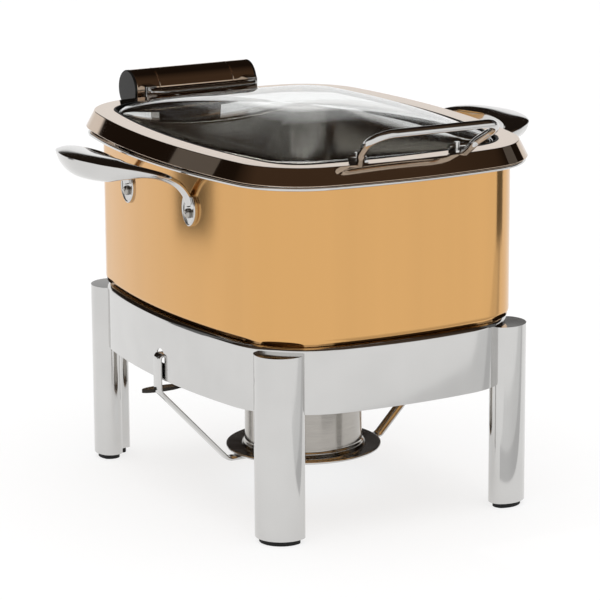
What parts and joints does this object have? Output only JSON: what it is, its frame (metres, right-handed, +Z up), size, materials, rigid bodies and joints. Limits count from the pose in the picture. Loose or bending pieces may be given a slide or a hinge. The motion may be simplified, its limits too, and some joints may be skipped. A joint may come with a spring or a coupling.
{
  "type": "hinged glass-lid chafer on a fuel stand",
  "caption": "Rectangular buffet chafer: gold water pan with cast side handles and a hinged glass lid, on a polished four-legged stand with a fuel-cup holder.",
  "frame": {"origin": "on the floor under the middle of the stand", "axes": "+Z up; the lid handle is at the front (-Y), the hinge barrel at the rear (+Y); the carrying handles are on the -X and +X sides"},
  "size_m": [0.5318, 0.547, 0.4197],
  "materials": {
    "mirror_steel": "mirror-polished stainless steel",
    "satin_steel": "satin stainless steel",
    "brushed_steel": "finely brushed stainless steel",
    "dark_steel": "heat-darkened steel",
    "gold_steel": "gold-coloured coating on mirror-polished steel",
    "rose_steel": "rose-gold coating on mirror-polished steel",
    "black_seal": "satin silicone seal",
    "black_plastic": "smooth black plastic",
    "clear_glass": "clear tempered glass",
    "foot_rubber": "matt black rubber"
  },
  "bodies": {
    "stand": {"apron_band": "mirror_steel", "leg_front_left": "mirror_steel", "leg_front_right": "mirror_steel", "leg_rear_left": "mirror_steel", "leg_rear_right": "mirror_steel", "leg_cap_front_left": "mirror_steel", "leg_cap_front_right": "mirror_steel", "leg_cap_rear_left": "mirror_steel", "leg_cap_rear_right": "mirror_steel", "foot_front_left": "foot_rubber", "foot_front_right": "foot_rubber", "foot_rear_left": "foot_rubber", "foot_rear_right": "foot_rubber", "fuel_strap": "mirror_steel", "drip_disc": "mirror_steel", "fuel_cup": "satin_steel", "damper_pin": "satin_steel"},
    "chafer_body": {"water_pan": "gold_steel", "pan_rim": "mirror_steel", "food_pan": "brushed_steel", "carrying_handle_left": "mirror_steel", "carrying_handle_right": "mirror_steel", "handle_rivets": "satin_steel", "hinge_bracket": "satin_steel", "hinge_barrel_middle": "rose_steel", "hinge_pin": "satin_steel"},
    "lid": {"lid_ring": "rose_steel", "glass_gasket": "black_seal", "glass_dome": "clear_glass", "lid_handle": "mirror_steel", "handle_post_left": "mirror_steel", "handle_post_right": "mirror_steel", "hinge_bail": "mirror_steel", "ring_screws": "mirror_steel", "hinge_knuckle_left": "mirror_steel", "hinge_knuckle_right": "mirror_steel", "hinge_barrel_left": "rose_steel", "hinge_barrel_right": "rose_steel", "hinge_cap_left": "black_plastic", "hinge_cap_right": "black_plastic"},
    "damper": {"damper_lid": "dark_steel"}
  },
  "joints": [
    {"name": "body_lift", "type": "slide", "parent": "stand", "child": "chafer_body", "axis": [0, 0, 1], "range_m": [0, 0.15]},
    {"name": "lid_hinge", "type": "hinge", "parent": "chafer_body", "child": "lid", "pos_m": [0, 0.2525, 0.3875], "axis": [-1, 0, 0], "range_deg": [0, 90]},
    {"name": "damper_swing", "type": "hinge", "parent": "stand", "child": "damper", "pos_m": [0, 0.052, 0.114], "axis": [0, 0, -1], "range_deg": [0, 38]}
  ]
}
